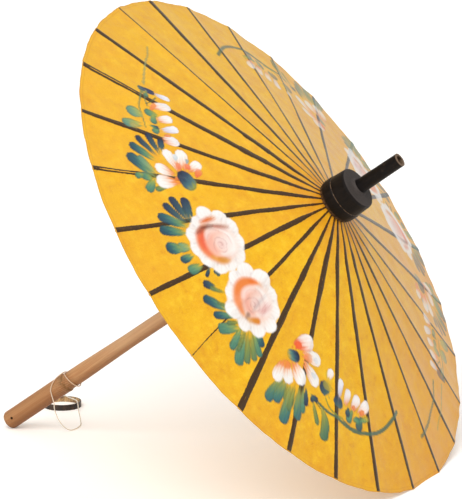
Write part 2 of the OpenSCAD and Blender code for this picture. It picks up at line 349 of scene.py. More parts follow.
def rose(c, centre, lobes, ball, hollow, patches, spin=0):
    """A full rose: white lobes round an orange hollow, in which a pale rolled ball lies. The lobes are
    (x, y, radius) of their round ends, hollow is the orange as arcs of (start, end, radius, width, colour,
    alpha) round the ball, patches are the last touches as (both ends, width, colours, edge), and spin turns
    the lines in the ball, in degrees."""
    centre, ball = np.array(centre, float), np.array(ball, float)
    c.disc(centre, 33, "f0dfd4", "f5eee9", soft=2.5)
    for x, y, r in lobes:
        root = centre + (np.array([x, y]) - centre) * 0.3
        c.dab(root, (x, y), 2 * r, ["edc6a6", "efdccf", "f5eee9", "f9f6f3"], root_width=0.6, side=0.12,
              edge=1.6, rim=0.04)
    for x, y, r in lobes:
        way = np.array([x, y], float) - centre
        side = np.array([-way[1], way[0]]) / np.linalg.norm(way)
        c.dab(centre + way * 0.72 + side * r, np.array([x, y]) + side * r * 1.05, 1.8,
              [("d8b9ac", 0.0), ("c4b2b4", 0.45)], edge=2.0, rim=0)
    c.disc(ball, 25, "f0b590", "f6e4da", soft=8, alpha=0.55)
    for start, end, radius, width, code, alpha in hollow:
        c.arc(ball, radius, start, end, width, code, alpha, soft=5)
    # the ball: pink on its shaded side, with pale rolled edges and thin lines between them
    c.disc(ball + [2, -2], 16.5, "f7e6df", "f4bca8", light=(7, -4), soft=9, alpha=0.95)
    c.arc(ball + [1, -1], 13, 95, 235, 9, "f0988a", 0.38, soft=9)
    c.arc(ball + [2, -2], 16, 265, 75, 7, "faf1ec", 0.85, soft=5)
    c.arc(ball + [3, -3], 12, 215, 330, 5, "f9efe9", 0.6, soft=4)
    c.arc(ball + [-1, 3], 11, 30, 170, 6, "f9e2dc", 0.6, soft=5)
    c.disc(ball + [2, -3], 6.5, "ecc4bc", "f5dcd4", soft=4, alpha=0.7)
    turn = np.radians(spin)
    spun = np.array([[math.cos(turn), math.sin(turn)], [-math.sin(turn), math.cos(turn)]])
    for *ends, bend, strength in FOLDS:
        root, tip = ball + np.array(ends).reshape(2, 2) @ spun
        c.dab(root, tip, 1.6, [("cf8f84", 0.2 * strength), ("c48880", strength), ("cf8f84", 0.2 * strength)],
              root_width=0.9, bend=bend, edge=1.8, rim=0)
    for *ends, width, shades, edge in patches:
        c.dab(ends[:2], ends[2:], width, shades, root_width=0.8, edge=edge, rim=0)


def garland(c, shifts):
    """One garland of the two, drawn from its thin tip to its thick curled stem, in six groups of strokes."""
    # thin stem, calyx and drooping buds
    c.move(shifts[0])
    c.line([(-52, 243), (-66, 233), (-82, 225), (-98, 214), (-112, 203)], 1.7, 2.5, "8b9a6e", 0.62)
    c.line([(-112, 205), (-104, 209), (-96, 216)], 1.8, 1.4, "93a07a", 0.5)
    c.line([(-120, 200), (-134, 191), (-146, 182), (-153, 171), (-163, 157)], 2.2, 1.2, "5f7f5a", 0.8)
    c.line([(-136, 181), (-127, 181), (-116, 183)], 1.0, 1.6, "4c5a3c", 0.85)
    c.line([(-124, 196), (-132, 186), (-136, 178)], 1.8, 1.4, "5a7c5c", 0.8)
    c.dab((-123, 200), (-114, 191), 8.5, ["5d7c72", "34406a", "2c3352"], root_width=0.8)
    c.dab((-119, 195), (-126, 189), 5, GREEN)
    c.dabs([
        (-113, 188, -102, 178, 8, COOL_BUD), (-134, 177, -114, 169, 11, BUD),
        (-141, 160, -125, 156, 10.5, BUD), (-147, 147, -129, 143, 10, COOL_BUD),
        (-157, 138, -144, 131, 13, BUD), (-138, 172, -127, 176, 5, ["ee7e3c", "f29a5a"]),
        (-150, 141, -143, 139, 4, ["ea7a3c", "f0a068"]),
    ], root_width=0.6, dry=0.25, rim=0.05)
    c.dabs([
        (-151, 170, -160, 179, 15, PALE_LEAF), (-163, 161, -180, 169, 13, PALE_LEAF),
        (-170, 160, -176, 164, 9, [("d2ae36", 0.5), ("c9b04c", 0.5)]),
        (-133, 163, -142, 171, 10, GREEN), (-137, 168, -146, 160, 8, GREEN),
        (-146, 152, -155, 149, 8, GREEN), (-157, 158, -149, 152, 5, TEAL),
    ], dry=0.3)
    # leaves and petals round the first dark-eyed flower
    c.move(shifts[1])
    c.dabs([
        (-199, 100, -209, 132, 15, TEAL), (-196, 104, -200, 128, 9, PALE_LEAF),
        (-183, 118, -196, 143, 11.5, TEAL), (-178, 122, -183, 149, 8, NAVY),
        (-173, 122, -170, 147, 8, NAVY), (-169, 126, -161, 136, 8.5, NAVY),
        (-204, 101, -213, 110, 9, GREEN), (-212, 112, -220, 113, 7.5, GREEN),
        (-202, 104, -217, 96, 10, GREEN), (-190, 90, -208, 92, 6, OLIVE),
    ], dry=0.45)
    c.dabs([
        (-180, 90, -196, 97, 15.5, PETAL), (-176, 98, -186, 110, 14, PETAL),
        (-167, 98, -164, 121, 13, PETAL), (-161, 99, -149, 114, 15, PETAL),
        (-156, 96, -140, 98, 11.5, PETAL), (-153, 87, -144, 91, 8, ["ee5a30", ("f28a5e", 0.7)]),
        (-183, 86, -177, 92, 8, [("ef7c32", 0.2), "ef8a40"]),
        (-166, 101, -162, 106, 7, ["ee6e3c", "f29a70"]),
        (-156, 98, -152, 101, 7, ["ee6636", "f29268"]), (-161, 112, -157, 116, 6, ["c9d2d6", "dfe3e6"]),
        (-150, 104, -147, 107, 4, ["8a9aa2", "aab8bc"]),
    ], dry=0.12, edge=1.1, rim=0.05)
    c.dab((-167, 85), (-167, 90), 20, ["9aa04a", "4a7078", "33465c", "252a40"], root_width=0.95, edge=1.3)
    # leaf fan above the first rose
    c.move(shifts[2])
    c.dabs([
        (-198, 46, -188, 68, 12, NAVY), (-200, 44, -201, 75, 10, NAVY), (-204, 44, -213, 72, 9.5, NAVY),
        (-203, 42, -227, 63, 12.5, TEAL), (-207, 37, -236, 51, 11, TEAL),
        (-216, 24, -228, 28, 11, PALE_LEAF), (-226, 25, -240, 32, 13.5, TEAL),
        (-219, 16, -234, 16, 9, TEAL), (-217, 3, -233, 3, 11, GREEN), (-210, -2, -219, -8, 5, NAVY),
    ], dry=0.4)
    # leaves beside and below the second rose
    c.move(shifts[3])
    c.dabs([
        (-208, -12, -206, -11, 9, NAVY), (-214, -24, -226, -16, 9, NAVY),
        (-206, -34, -222, -22, 5, OLIVE), (-212, -54, -235, -30, 11, TEAL),
        (-208, -60, -234, -48, 9, TEAL), (-208, -50, -224, -38, 4, OLIVE),
        (-208, -72, -237, -62, 12, GREEN), (-206, -66, -226, -60, 5, OLIVE),
        (-205, -66, -234, -82, 9, GREEN),
        (-203, -68, -235, -97, 12, GREEN), (-201, -70, -225, -101, 8, OLIVE),
        (-199, -72, -215, -102, 8, OLIVE), (-197, -72, -206, -101, 8, GREEN),
        (-193, -74, -197, -93, 9, TEAL),
        (-202, -70, -229, -88, 5, OLIVE),
    ], root_width=0.25, dry=0.5)
    c.move(shifts[2])
    rose(c, (-183, 18), lobes=[
        (-176, 48, 10), (-192, 45, 6), (-205, 34, 9), (-208, 20, 10.5), (-205, 7, 11), (-196, -4, 10.5),
        (-183, -7, 9), (-168, -3, 10), (-158, 10, 9), (-157, 25, 11), (-162, 38, 9.5),
    ], ball=(-181, 17), hollow=[
        (75, 285, 20.5, 12, "ee9450", 0.80), (95, 225, 20.5, 11, "ee6c3e", 0.75),
        (116, 192, 19.5, 7, "ea4e36", 0.55), (200, 280, 21.5, 6, "e09a30", 0.90),
    ], patches=[
        (-187, 42, -169, 42, 6, [("e89a6a", 0.5), "e0743e", "e28450", ("eeb48c", 0.4)], 4),
        (-201, 33, -188, 37, 6, [("d8604a", 0.2), ("a04c3e", 0.75), ("7e4036", 0.7), ("7e4238", 0.0)], 4),
        (-192, 37, -175, 35, 5,
         [("7c4034", 0.0), ("70382e", 0.85), ("80463a", 0.8), ("80463a", 0.0)], 3.5),
        (-180, 35.5, -158, 27, 4.5,
         [("80463a", 0.0), ("8e5444", 0.8), ("b06a54", 0.75), ("c88c78", 0.4)], 3),
        (-174, 33, -162, 24, 3, [("d88878", 0.5), ("d48a7a", 0.6), ("e0a898", 0.3)], 3),
        (-193, 1, -186, -3, 5, ["dc8a34", ("e0a04c", 0.7)], 3),
    ])
    c.move(shifts[3])
    rose(c, (-181, -52), lobes=[
        (-170, -23, 11), (-186, -24, 9), (-201, -35, 8.5), (-211, -50, 10), (-206, -68, 8), (-192, -78, 10),
        (-175, -79, 10), (-162, -69, 10), (-155, -54, 9.5), (-157, -37, 12),
    ], ball=(-180, -53), hollow=[
        (15, 225, 21.5, 11, "ee9850", 0.85), (45, 150, 22, 10, "ea7c2c", 0.85),
        (120, 200, 21, 9, "ee8048", 0.6), (40, 75, 22, 7, "e8701e", 0.7),
    ], patches=[
        (-177, -67, -164, -62, 9, [("e0a49c", 0.3), ("d8948e", 0.75), ("dc9c94", 0.6), ("e8b4ac", 0.2)], 5),
        (-188, -62, -160, -51, 4.5,
         [("a89ca2", 0.1), ("ac9a98", 0.45), ("a89a9e", 0.35), ("a89a9e", 0.0)], 3.5),
        (-199, -64, -195, -62, 5, [("8a5a3c", 0.6), ("7c5038", 0.75)], 3),
        (-197, -67, -187, -72, 7, [("dda040", 0.6), "dc8a30", "dc8428"], 3),
    ], spin=-55)
    # second dark-eyed flower, with its own leaves
    c.move(shifts[4])
    c.dabs([
        (-178, -130, -218, -142, 12, SOFT_TEAL), (-178, -134, -208, -147, 12, SOFT_TEAL),
        (-180, -140, -196, -152, 9, OLIVE), (-176, -140, -211, -168, 13, SOFT_TEAL),
        (-172, -142, -198, -162, 7, OLIVE), (-168, -144, -191, -172, 12, SOFT_TEAL),
        (-164, -148, -180, -170, 8, GREEN), (-160, -150, -171, -166, 7, NAVY),
        (-158, -162, -165, -188, 6.5, OLIVE), (-152, -166, -160, -166, 6, NAVY),
        (-160, -160, -154, -168, 7, NAVY),
    ], root_width=0.3, dry=0.45)
    c.dab((-152, -172), (-162, -202), 14, OLIVE + ["4a7058"], root_width=0.2, bend=0.18, dry=0.2)
    c.line([(-156, -170), (-151, -182), (-151, -194), (-157, -205)], 1.2, 1.6, "4a5a2c", 0.8)
    c.dabs([
        (-178, -118, -194, -128, 14, PETAL), (-172, -122, -181, -135, 14, PETAL),
        (-164, -124, -165, -141, 17, PETAL), (-152, -128, -145, -150, 15, PETAL),
        (-148, -122, -131, -133, 15, PETAL), (-154, -110, -134, -114, 18, RED_PETAL),
        (-184, -118, -174, -124, 9, [("ef8438", 0.3), "ef8a44"]),
        (-148, -124, -141, -129, 10, ["f08244", ("f4a878", 0.6)]),
        (-152, -110, -147, -112, 9, ["f0602e", "f06a3c"]),
        (-146, -142, -143, -147, 6, [("c9ced6", 0.7), ("dadfe6", 0.7)]),
        (-135, -131, -131, -135, 6, [("c9ccd2", 0.6), ("e0e2e8", 0.6)]),
    ], dry=0.12, edge=1.1, rim=0.05)
    c.dab((-163, -117), (-159, -120), 13.5, [("b8a83c", 0.6), "5c8a80", "2f4a60", "20263c"],
          root_width=0.9, edge=1.3)
    # buds along the curled stem
    c.move(shifts[5])
    c.line([(-152, -172), (-144, -184), (-133, -194), (-124, -204), (-112, -214), (-98, -221), (-80, -227),
            (-58, -229), (-38, -226), (-18, -220)], 3.0, 4.2, "4a6a56", 0.95)
    c.line([(-124, -200), (-114, -211), (-100, -219)], 1.5, 3.0, "3f5f50", 0.95)
    c.line([(-138, -172), (-138, -182), (-132, -192), (-124, -198)], 1.6, 2.2, "7c8a3e", 0.8)
    c.dabs([
        (-124, -164, -120, -153, 9, [("d8b040", 0.3), ("c8ae3c", 0.7)]),
        (-122, -156, -116, -152, 9, WHITE),
        (-134, -170, -134, -162, 15, NAVY),
        (-124, -168, -130, -160, 9, [("c9a838", 0.9), ("a8a040", 0.6)]),
        (-126, -186, -122, -182, 15, NAVY), (-118, -178, -106, -166, 9.5, COOL_BUD),
        (-112, -188, -99, -179, 10, BUD), (-103, -196, -88, -189, 11, BUD),
        (-94, -203, -77, -199, 12, BUD), (-101, -192, -97, -195, 5, ["ec7a3c", "f0945a"]),
        (-92, -202, -86, -203, 6, ["ec7a3c", "f0945a"]),
    ], root_width=0.6, dry=0.2, rim=0.08)
    c.dabs([
        (-104, -197, -113, -201, 10, GREEN[1:]), (-108, -193, -112, -196, 8, NAVY),
        (-92, -208, -100, -213, 11, NAVY[:2]), (-100, -209, -83, -211, 6, GREEN[::-1]),
        (-104, -205, -99, -207, 8, GREEN[1:]),
    ], root_width=0.5)


# ---- the canopy ----
PAPER_TOP = 5.0         # height of the paper's face above the line of the rib pivots, square to the paper
PAPER_BACK = 4.62
BACK_ON_RIB = 4.24
ROWS = 224              # even, from the hub to the rim
COLUMNS = 56            # even, with the rib in the middle column
SAG = 1.3               # of the paper between two ribs, at the rim
TUCK = 0.3              # how far a piece reaches under the next one, so that no gap shows
TUCK_DEPTH = 0.01

# full width of the painted stripe on each rib
STRIPES = [4.6, 5.2, 4.2, 4.0, 5.4, 6.0, 5.2, 4.6, 4.6, 4.0, 4.0, 4.8, 7.6, 2.8, 6.2, 6.4, 5.4, 5.2, 4.8,
           5.2, 4.2, 7.4, 6.3, 5.8, 5.8, 5.4]
# for some ribs: the half gap of a stripe that parts near the rim, how much wider it is in a short wet patch,
# and what is left of its width at the rim
SPLIT_AT_RIM = {16: 0.75, 18: 0.8, 5: 0.6}
WIDER = {15: 0.35, 16: 0.3, 22: 0.12}
THIN_AT_RIM = {21: 0.25, 14: 0.8, 10: 0.7}


def paper_heights(rho, across, between):
    """How far the paper's face stands above its flat, for its radius, its distance across the rib and its
    share of the way from the rib (0) to mid-gore (1)."""
    open_span = 1 - (1 - between) ** 2
    sag = -SAG * (rho / CANOPY_R) * open_span * smooth(1.5, 5, np.abs(across))
    on_rib = 0.22 * (1 - smooth(1.2, 2.6, np.abs(across))) * smooth(24, 40, rho)
    hem = 0.12 * smooth(296.2, 297.0, rho)
    return sag + on_rib + hem


def waves(plan, between):
    """Soft unevenness of the glued paper, still on the ribs."""
    x, y = plan[..., 0], plan[..., 1]
    total = (np.sin(0.071 * x + 0.113 * y + 1.3) + np.sin(-0.128 * x + 0.057 * y + 4.1)
             + 0.7 * np.sin(0.21 * x + 0.17 * y + 0.4) + 0.5 * np.sin(0.05 * x - 0.31 * y + 2.2))
    return 0.13 * total * smooth(0.05, 0.5, between)


def rim_bulge(rho, turn, between):
    """How far the trimmed rim stands out past the straight line between two rib tips. It doesn't where the
    umbrella rests on the floor."""
    trimmed = 0.3 * np.sin(41 * turn + 1) + 0.2 * np.sin(67 * turn + 2) + 0.12 * np.sin(118 * turn + 5)
    out = 2.0 * (1 - (1 - between) ** 2) + trimmed * smooth(0.02, 0.15, between)
    resting = smooth(math.cos(0.20), math.cos(0.06), -np.sin(turn))
    return (rho / CANOPY_R) ** 8 * out * (1 - resting)


def paper_grid(i, rows, columns, face):
    """One paper piece's points, half a gore to each side of rib i: place, plan, distance across the rib,
    radius, and share of the way to mid-gore. The last two are for each point."""
    rho = HUB_R + (CANOPY_R - HUB_R) * np.arange(rows + 1)[:, None] / rows
    k = np.arange(columns + 1)[None] / columns * 2 - 1
    side = np.sign(k)
    # along a gore the paper is flat, so a row is straight from the rib to mid-gore
    middle = rib_turn(i) + side * HALF_GORE
    far = np.abs(k)
    tucked = k > 0.9999
    offset = np.where(tucked, TUCK, -side * rho * math.sin(HALF_GORE) * (1 - far))
    depth = rho * math.cos(HALF_GORE) + rim_bulge(rho, middle + np.arctan2(offset, rho), far)
    x = depth * np.cos(middle) - offset * np.sin(middle)
    y = depth * np.sin(middle) + offset * np.cos(middle)
    on_rib = far < 1e-9
    x = np.where(on_rib, rho * math.cos(rib_turn(i)), x)
    y = np.where(on_rib, rho * math.sin(rib_turn(i)), y)
    across = -x * math.sin(rib_turn(i)) + y * math.cos(rib_turn(i))
    plan = np.stack([x, y], -1)
    far = far + 0 * rho
    rho = rho + 0 * far
    flat = RIM_Z + (CANOPY_R - rho) * math.tan(SLOPE)
    lift = paper_heights(rho, across, far) + waves(plan, far)
    lift = lift - TUCK_DEPTH * tucked
    if face == "back":
        glue = 1 - smooth(1.6, 3.2, np.abs(across))
        lift = lift - (PAPER_TOP - PAPER_BACK) - (PAPER_BACK - BACK_ON_RIB + 0.22) * glue
    # lift is square to the flat gore
    place = np.stack([
        x + lift * math.sin(SLOPE) * np.cos(middle), y + lift * math.sin(SLOPE) * np.sin(middle),
        flat + lift * math.cos(SLOPE)
    ], -1)
    return place, plan, across, rho, far


def stripe_shape(i, rho):
    """Half width, sideways drift and half gap of the stripe on rib i at each radius."""
    wave = np.sin(0.041 * rho + 2.1 * i) + 0.6 * np.sin(0.093 * rho + 1.3 * i) + 0.4 * np.sin(0.21 * rho + i)
    broad = smooth(6.5, 7.5, STRIPES[i - 1])
    body = (0.42 + 0.58 * smooth(20, 75, rho)) * (1 - broad * 0.35 * (1 - smooth(60, 240, rho)))
    half = STRIPES[i - 1] / 2 * 1.06 * body * (1 + 0.09 * wave)
    thin = THIN_AT_RIM.get(i, 1)
    half = half * (thin + (1 - thin) * (1 - smooth(150, 285, rho)))
    half = half * (1 + WIDER.get(i, 0) * smooth(84, 87, rho) * (1 - smooth(116, 119, rho)))
    drift = 0.35 * np.sin(0.027 * rho + 1.7 * i) + 0.15 * np.sin(0.11 * rho + 0.9 * i)
    gap = SPLIT_AT_RIM.get(i, 0) * smooth(215, 262, rho) * (1 - smooth(286, 297, rho)) - 0.5
    return half, drift, gap


def edge_walls(top, back):
    """Faces between a border of the top grid and the border of the back grid, which has half its points."""
    walls = []
    for k in range(len(back) - 1):
        walls.append((top[2 * k], top[2 * k + 1], top[2 * k + 2], back[k + 1], back[k]))
    return walls


def part_walls(mesh):
    """Gives the walls their own corners, so that they don't bend the shading of the paper beside them."""
    work = bmesh.new()
    work.from_mesh(mesh)
    borders = [e for e in work.edges if len({f.smooth for f in e.link_faces}) == 2]
    bmesh.ops.split_edges(work, edges=borders)
    work.to_mesh(mesh)
    work.free()


def grid_faces(rows, columns, first, flip=False):
    """Quads of a grid whose points start at the index first, and the grid of its points' indices."""
    at = first + np.arange((rows + 1) * (columns + 1)).reshape(rows + 1, columns + 1)
    corners = [at[:-1, :-1], at[1:, :-1], at[1:, 1:], at[:-1, 1:]]
    if flip:
        corners = [corners[k] for k in (0, 3, 2, 1)]
    return np.stack(corners, -1).reshape(-1, 4).tolist(), at


def set_field(mesh, name, *columns):
    """A vector attribute of the mesh's points, which the paper's materials read."""
    layer = mesh.attributes.new(name, "FLOAT_VECTOR", "POINT")
    layer.data.foreach_set("vector", np.stack(columns, -1).ravel())


def paint_canopy(plans):
    """The two garlands on the points of each plan, as rows of (red, green, blue, alpha)."""
    canvas = Canvas(np.vstack(plans))
    garland(canvas, FIRST_GARLAND)
    canvas.turned = -1
    # the second garland is laid on fainter: painted sheen, for the gloss that pales its colours
    canvas.strength = 0.66
    garland(canvas, SECOND_GARLAND)
    canvas.turned = 1
    canvas.move((0, 0))
    canvas.line([(110, -211), (84, -230), (52, -247), (22, -256)], 3.0, 4.0, "4a6a56", 0.85)
    return np.split(np.column_stack([canvas.rgb, canvas.alpha]), np.cumsum([len(p) for p in plans])[:-1])


def make_canopy(materials):
    """One paper piece for each rib, half a gore to each side of it. A piece's materials are those of its
    face, its back and its edge."""
    tops = [paper_grid(i, ROWS, COLUMNS, "top") for i in range(1, RIBS + 1)]
    backs = [paper_grid(i, ROWS // 2, COLUMNS // 2, "back") for i in range(1, RIBS + 1)]
    paint = paint_canopy([g[1].reshape(-1, 2) for g in tops + backs])
    tints = np.random.default_rng(7).uniform(-1, 1, RIBS)
    for i in range(1, RIBS + 1):
        grids = (tops[i - 1], backs[i - 1])
        place, plan, side, rho, between = [
            np.vstack([grid[k].reshape(grid[3].size, -1) for grid in grids]) for k in range(5)]
        side, rho, between = side.ravel(), rho.ravel(), between.ravel()
        face, at = grid_faces(ROWS, COLUMNS, 0)
        back, at_b = grid_faces(ROWS // 2, COLUMNS // 2, at.size, flip=True)
        walls = (edge_walls(at[::-1, 0], at_b[::-1, 0]) + edge_walls(at[:, -1], at_b[:, -1])
                 + edge_walls(at[0], at_b[0]) + edge_walls(at[-1, ::-1], at_b[-1, ::-1]))
        ob = new_object(f"paper_{i:02d}", laid(place), face + back + [w[::-1] for w in walls])
        mesh = ob.data
        slots = np.repeat([0, 1, 2], [len(face), len(back), len(walls)])
        mesh.polygons.foreach_set("material_index", slots)
        mesh.polygons.foreach_set("use_smooth", slots < 2)
        for m in materials:
            mesh.materials.append(m)
        layer = mesh.attributes.new("paint", "FLOAT_COLOR", "POINT")
        layer.data.foreach_set("color", np.vstack([paint[i - 1], paint[RIBS + i - 1]]).ravel())
        none = np.zeros(len(rho))
        set_field(mesh, "plan", plan[:, 0], plan[:, 1], none)
        set_field(mesh, "rib", side, rho, between)
        set_field(mesh, "stripe", *stripe_shape(i, rho))
        set_field(mesh, "tint", np.where(side > 0, tints[i % RIBS], tints[i - 1]), none + i, none)
        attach(ob, f"rib_{i:02d}")
        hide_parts("canopy")
        part_walls(mesh)
        turn = rib_turn(i)
        tangent = laid([-math.sin(turn), math.cos(turn), 0]) - laid([0, 0, 0])
        tangent /= np.linalg.norm(tangent)
        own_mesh(ob)


# ---- materials ----
class Shader:
    """The nodes of a material or world, with short ways to add and join them. Inputs are numbers, colours
    or sockets."""

    def __init__(self, name, owners=bpy.data.materials):
        self.owner = owners.new(name)
        self.owner.use_nodes = True
        self.tree = self.owner.node_tree
        self.tree.nodes.clear()

    def add(self, kind, inputs=None, out=0, **props):
        """A new node's output, which is given by its number or name."""
        node = self.tree.nodes.new("ShaderNode" + kind)
        for key, value in props.items():
            setattr(node, key, value)
        for key, value in (inputs or {}).items():
            self.join(node.inputs[key], value)
        return node.outputs[out] if node.outputs else None

    def join(self, socket, value):
        if isinstance(value, bpy.types.NodeSocket):
            self.tree.links.new(value, socket)
        else:
            socket.default_value = value

    def math(self, operation, a, b=0.0):
        return self.add("Math", {0: a, 1: b}, operation=operation)

    def times(self, a, b):
        return self.math("MULTIPLY", a, b)

    def plus(self, a, b):
        return self.math("ADD", a, b)

    def minus(self, a, b):
        return self.math("SUBTRACT", a, b)

    def size(self, a):
        return self.math("ABSOLUTE", a)

    def hypot(self, x, y):
        return self.math("SQRT", self.plus(self.times(x, x), self.times(y, y)))

    def vector(self, operation, a, b=(0, 0, 0), out=0):
        return self.add("VectorMath", {0: a, 1: b}, out=out, operation=operation)

    def combine(self, x, y, z):
        return self.add("CombineXYZ", {0: x, 1: y, 2: z})

    def scaled(self, place, scales):
        """The place as a vector, with each of its three numbers scaled."""
        return self.combine(*[self.times(a, k) for a, k in zip(place, scales)])

    def split(self, vector):
        return self.add("SeparateXYZ", {0: vector}).node.outputs

    def attribute(self, name, out="Vector"):
        return self.add("Attribute", out=out, attribute_name=name)

    def noise(self, where, scale, detail=3.0, rough=0.5, distort=0.0):
        return self.add("TexNoise", {"Vector": where, "Scale": scale, "Detail": detail, "Roughness": rough,
                                     "Distortion": distort})

    def ramp(self, value, lo, hi, from_=0.0, to=1.0):
        """The value's place between lo and hi, smoothed, as a number from from_ to to."""
        return self.add("MapRange", {0: value, 1: lo, 2: hi, 3: from_, 4: to},
                        interpolation_type="SMOOTHSTEP")

    def band(self, value, lo, lo_full, hi_full, hi):
        """1 between the two inner numbers, and fading to 0 at the two outer ones."""
        return self.times(self.ramp(value, lo, lo_full), self.ramp(value, hi, hi_full))

    def mix(self, share, a, b):
        return self.add("Mix", {0: share, 6: a, 7: b}, out=2, data_type="RGBA", clamp_factor=True)

    def blend(self, share, code, other_code):
        """From one colour to another by the share."""
        return self.mix(share, colour(code), colour(other_code))

    def tint(self, base, code, share, strength=None):
        """The base with a colour laid over it, by the share and, if it is given, its strength."""
        if strength is not None:
            share = self.times(share, strength)
        return self.mix(share, base, colour(code))

    def bump(self, height, distance, strength=0.6):
        return self.add("Bump", {"Height": height, "Distance": distance, "Strength": strength})

    def finish(self, **inputs):
        named = {key.replace("_", " "): value for key, value in inputs.items()}
        self.add("OutputMaterial", {0: self.add("BsdfPrincipled", named)})
        return self.owner

    def shaft_place(self):
        """The place in shaft coordinates, in metres: across (X and Y) and along the shaft (Z)."""
        p = self.vector("SUBTRACT", self.add("TexCoord", out="Object"), tuple(BUTT))
        x = self.vector("DOT_PRODUCT", p, (1, 0, 0), out="Value")
        y = self.vector("DOT_PRODUCT", p, tuple(ACROSS), out="Value")
        z = self.vector("DOT_PRODUCT", p, tuple(AXIS), out="Value")
        return x, y, z


def paper_base(s, plan, tint):
    """The oiled paper's own colour, with the noises that its relief and gloss share."""
    cloudy = s.noise(plan, 0.014, 4, 0.6)
    mottle = s.noise(plan, 0.085, 5, 0.65)
    fibre = s.noise(s.vector("MULTIPLY", plan, (0.5, 2.4, 1)), 0.5, 4, 0.7, 1.2)
    base = s.blend(s.ramp(cloudy, 0.3, 0.7), "f3ba0e", "ecab14")
    base = s.tint(base, "f8c622", s.ramp(mottle, 0.45, 0.72))
    base = s.tint(base, "dc8c14", s.ramp(mottle, 0.46, 0.28), 0.60)
    base = s.tint(base, "fbd050", s.ramp(fibre, 0.45, 0.8), 0.40)
    base = s.tint(base, "be7610", s.ramp(fibre, 0.42, 0.2), 0.42)
    # painted shade: deeper and warmer towards the side that rests on the floor, away from the key light
    toward_shade = s.vector("DOT_PRODUCT", plan, (0.5, -0.87, 0), out="Value")
    base = s.tint(base, "cf7d0c", s.ramp(toward_shade, 40, 290, 0.0, 0.34))
    # painted light: brighter on the opposite side
    base = s.tint(base, "ffcb36", s.ramp(toward_shade, -30, -280, 0.0, 0.24))
    fleck = s.noise(plan, 0.75, 3, 0.7)
    base = s.tint(base, "c98a1a", s.ramp(fleck, 0.56, 0.78), 0.35)
    base = s.tint(base, "fcd860", s.ramp(fleck, 0.42, 0.24), 0.35)
    base = s.tint(base, "e89a30", s.ramp(tint, -1, 1, 0.0, 0.22))
    base = s.tint(base, "a8671c", s.ramp(s.noise(plan, 0.35, 2, 0.5), 0.77, 0.80), 0.45)
    return base, mottle, fibre


def make_paper_face():
    s = Shader("oiled_paper_face")
    plan = s.attribute("plan")
    across, rho, _ = s.split(s.attribute("rib"))
    half, drift, gap = s.split(s.attribute("stripe"))
    tint, number, _ = s.split(s.attribute("tint"))
    base, mottle, fibre = paper_base(s, plan, tint)
    # rusty near the cap, then a darker, oilier band at the rim, and the hem's fold
    rust = s.times(s.ramp(rho, 85, 25), s.ramp(s.noise(plan, 0.05, 3), 0.3, 0.6, 0.25, 0.6))
    base = s.tint(base, "d98418", rust)
    base = s.tint(base, "e29a34", s.ramp(rho, 262, 300), 0.14)
    base = s.tint(base, "c98428", s.band(rho, 295.6, 296.3, 296.6, 297.4), 0.18)
    base = s.tint(base, "b8782a", s.ramp(rho, 298.6, 299.5), 0.35)
    # soft brown shade where the glued rib lies under the paper
    base = s.tint(base, "c9862c", s.ramp(s.size(across), 5.5, 1.5), 0.14)
    # painted stripe: a rough wet edge and dry streaks along it
    streak = s.noise(s.scaled((across, rho, number), (1.3, 0.045, 7.3)), 1.0, 4, 0.6)
    rough_edge = s.noise(s.combine(across, s.times(rho, 0.35), number), 0.9, 3, 0.6)
    away = s.plus(s.size(s.minus(across, drift)), s.times(s.minus(rough_edge, 0.5), 1.5))
    inside = s.minus(half, away)
    stripe = s.times(s.ramp(inside, -0.25, 0.35), s.ramp(s.minus(away, gap), 0.05, 0.5))
    stripe = s.times(stripe, s.times(s.ramp(streak, 0.62, 0.85, 1.0, 0.45), 0.96))
    stripe = s.times(stripe, s.ramp(rho, 299.6, 298.9))
    uneven = s.noise(s.combine(number, s.times(rho, 0.02), 0.0), 1.7, 2)
    ink = s.blend(s.ramp(uneven, 0.35, 0.65), "2e1b11", "261a17")
    ink = s.tint(ink, "4a342a", s.ramp(streak, 0.25, 0.75), 0.34)
    ink = s.tint(ink, "33221a", s.ramp(inside, 0.9, 0.1), 0.45)
    with_stripe = s.mix(stripe, base, ink)
    # the flowers, a little thin over the stripes
    cover = s.times(s.attribute("paint", "Alpha"), s.ramp(s.noise(plan, 0.9, 3, 0.6), 0.2, 0.4, 0.86, 1.0))
    cover = s.times(cover, s.minus(1.0, s.times(stripe, 0.03)))
    done = s.mix(cover, with_stripe, s.attribute("paint", "Color"))
    crease = s.noise(plan, 0.06, 4, 0.7, 2.5)
    crinkle = s.noise(plan, 0.30, 3, 0.6)
    height = s.plus(s.plus(crease, s.times(crinkle, 0.35)), s.times(fibre, 0.12))
    height = s.plus(height, s.times(s.math("MAXIMUM", cover, stripe), 0.06))
    rough = s.plus(s.ramp(mottle, 0.3, 0.7, 0.44, 0.56), s.times(cover, 0.06))
    relief = s.bump(height, 0.0007, 0.55)
    return s.finish(Base_Color=done, Roughness=rough, Normal=relief, Specular_IOR_Level=0.15,
                    Coat_Weight=0.8, Coat_Roughness=0.3, Coat_IOR=1.36, Coat_Normal=relief)


